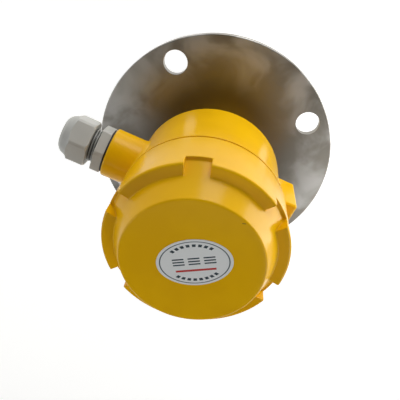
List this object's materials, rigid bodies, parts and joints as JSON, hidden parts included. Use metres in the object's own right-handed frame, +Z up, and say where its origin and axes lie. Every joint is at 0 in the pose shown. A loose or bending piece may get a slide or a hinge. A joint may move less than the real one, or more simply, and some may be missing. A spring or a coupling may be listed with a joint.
{
  "type": "rotary paddle level switch",
  "caption": "Level switch for bulk solids: cast head with a notched screw cover and cable gland over a bolted flange, a sleeved shaft and a turning paddle.",
  "frame": {"origin": "centre of the mounting flange's rear face, on the shaft's axis", "axes": "+Z up the shaft's axis to the cover's face, with the paddle below on -Z; +X towards the cable gland"},
  "size_m": [0.1625, 0.155, 0.3006],
  "materials": {
    "yellow_paint": "glossy golden yellow paint on cast aluminium",
    "flange_steel": "brushed stainless plate",
    "turned_steel": "turned stainless",
    "weld_steel": "stainless weld, heat tinted",
    "screw_steel": "bright plated steel",
    "dark_steel": "blackened steel",
    "spring_steel": "bright spring steel",
    "zinc_plate": "zinc plated sheet",
    "motor_metal": "drawn metal can",
    "bronze": "sintered bronze",
    "brass": "turned brass",
    "grey_nylon": "moulded light grey nylon",
    "black_rubber": "black rubber",
    "black_plastic": "black moulded plastic",
    "red_plastic": "red moulded plastic",
    "board_laminate": "green circuit laminate",
    "label_film": "white printed film"
  },
  "bodies": {
    "head": {"housing": "yellow_paint", "mounting_flange": "flange_steel", "neck_gasket": "black_rubber", "neck_set_screw": "dark_steel", "sleeve_tube": "turned_steel", "weld_bead": "weld_steel", "upper_bush": "bronze", "lower_bush": "bronze", "shaft_seal": "black_rubber", "seal_retaining_ring": "dark_steel", "chassis_plate": "zinc_plate", "chassis_screws": "screw_steel", "swing_stop": "turned_steel", "torque_spring": "spring_steel", "switch_lower": "black_plastic", "switch_upper": "black_plastic", "switch_screws": "screw_steel", "board_pillars": "brass", "terminal_board": "board_laminate", "board_screws": "screw_steel", "terminal_block": "black_plastic", "terminal_screws": "screw_steel", "gland_gasket": "black_rubber", "gland_body": "grey_nylon"},
    "cover_ring": {"cover_o_ring": "black_rubber"},
    "cover": {"cover": "yellow_paint", "cover_label": "label_film"},
    "gland_insert": {"gland_seal": "black_rubber"},
    "gland_nut": {"gland_nut": "grey_nylon"},
    "paddle": {"paddle_shaft": "turned_steel", "shaft_retaining_ring": "dark_steel", "paddle_blade": "flange_steel", "paddle_screws": "screw_steel", "paddle_nuts": "screw_steel", "shaft_coupling": "screw_steel", "coupling_screws": "dark_steel", "motor_output_shaft": "turned_steel"},
    "motor": {"torque_plate": "zinc_plate", "gearbox_case": "motor_metal", "motor_can": "motor_metal", "motor_screws": "screw_steel", "trip_pin": "turned_steel"},
    "lever_lower": {"switch_lever_lower": "spring_steel"},
    "lever_upper": {"switch_lever_upper": "spring_steel"},
    "button_lower": {"switch_button_lower": "red_plastic"},
    "button_upper": {"switch_button_upper": "red_plastic"}
  },
  "joints": [
    {"name": "cover_slide", "type": "slide", "parent": "head", "child": "cover_ring", "axis": [0, 0, 1], "range_m": [0, 0.01201]},
    {"name": "cover_turn", "type": "hinge", "parent": "cover_ring", "child": "cover", "pos_m": [0, 0, 0.084], "axis": [0, 0, 1], "range_deg": [0, 2160]},
    {"name": "gland_nut_slide", "type": "slide", "parent": "head", "child": "gland_insert", "axis": [1, 0, 0], "range_m": [0, 0.00901]},
    {"name": "gland_nut_turn", "type": "hinge", "parent": "gland_insert", "child": "gland_nut", "pos_m": [0.075, 0, 0.0595], "axis": [1, 0, 0], "range_deg": [0, 2160]},
    {"name": "paddle_spin", "type": "hinge", "parent": "head", "child": "paddle", "pos_m": [0, 0, 0], "axis": [0, 0, 1], "continuous": true},
    {"name": "motor_swing", "type": "hinge", "parent": "head", "child": "motor", "pos_m": [0, 0, 0.058], "axis": [0, 0, 1], "range_deg": [0, 8], "stiffness_Nm_per_rad": 0.12, "springref_deg": -5.73, "deforming": ["torque_spring"]},
    {"name": "lever_lower_tilt", "type": "hinge", "parent": "head", "child": "lever_lower", "pos_m": [-0.011, -0.0074, 0.0465], "axis": [0, 0, 1], "range_deg": [0, 14.36]},
    {"name": "lever_upper_tilt", "type": "hinge", "parent": "head", "child": "lever_upper", "pos_m": [-0.011, -0.0074, 0.0525], "axis": [0, 0, 1], "range_deg": [0, 14.36]},
    {"name": "button_lower_press", "type": "slide", "parent": "head", "child": "button_lower", "axis": [0, -1, 0], "range_m": [0, 0.00136]},
    {"name": "button_upper_press", "type": "slide", "parent": "head", "child": "button_upper", "axis": [0, -1, 0], "range_m": [0, 0.00136]}
  ],
  "couplings": [
    {"joint": "cover_slide", "follows": "cover_turn", "m_per_rad": 0.00031831},
    {"joint": "gland_nut_slide", "follows": "gland_nut_turn", "m_per_rad": 0.00023873},
    {"joint": "lever_lower_tilt", "follows": "motor_swing", "ratio": 1.794},
    {"joint": "lever_upper_tilt", "follows": "motor_swing", "ratio": 1.794},
    {"joint": "button_lower_press", "follows": "motor_swing", "m_per_rad": 0.00967},
    {"joint": "button_upper_press", "follows": "motor_swing", "m_per_rad": 0.00967}
  ]
}
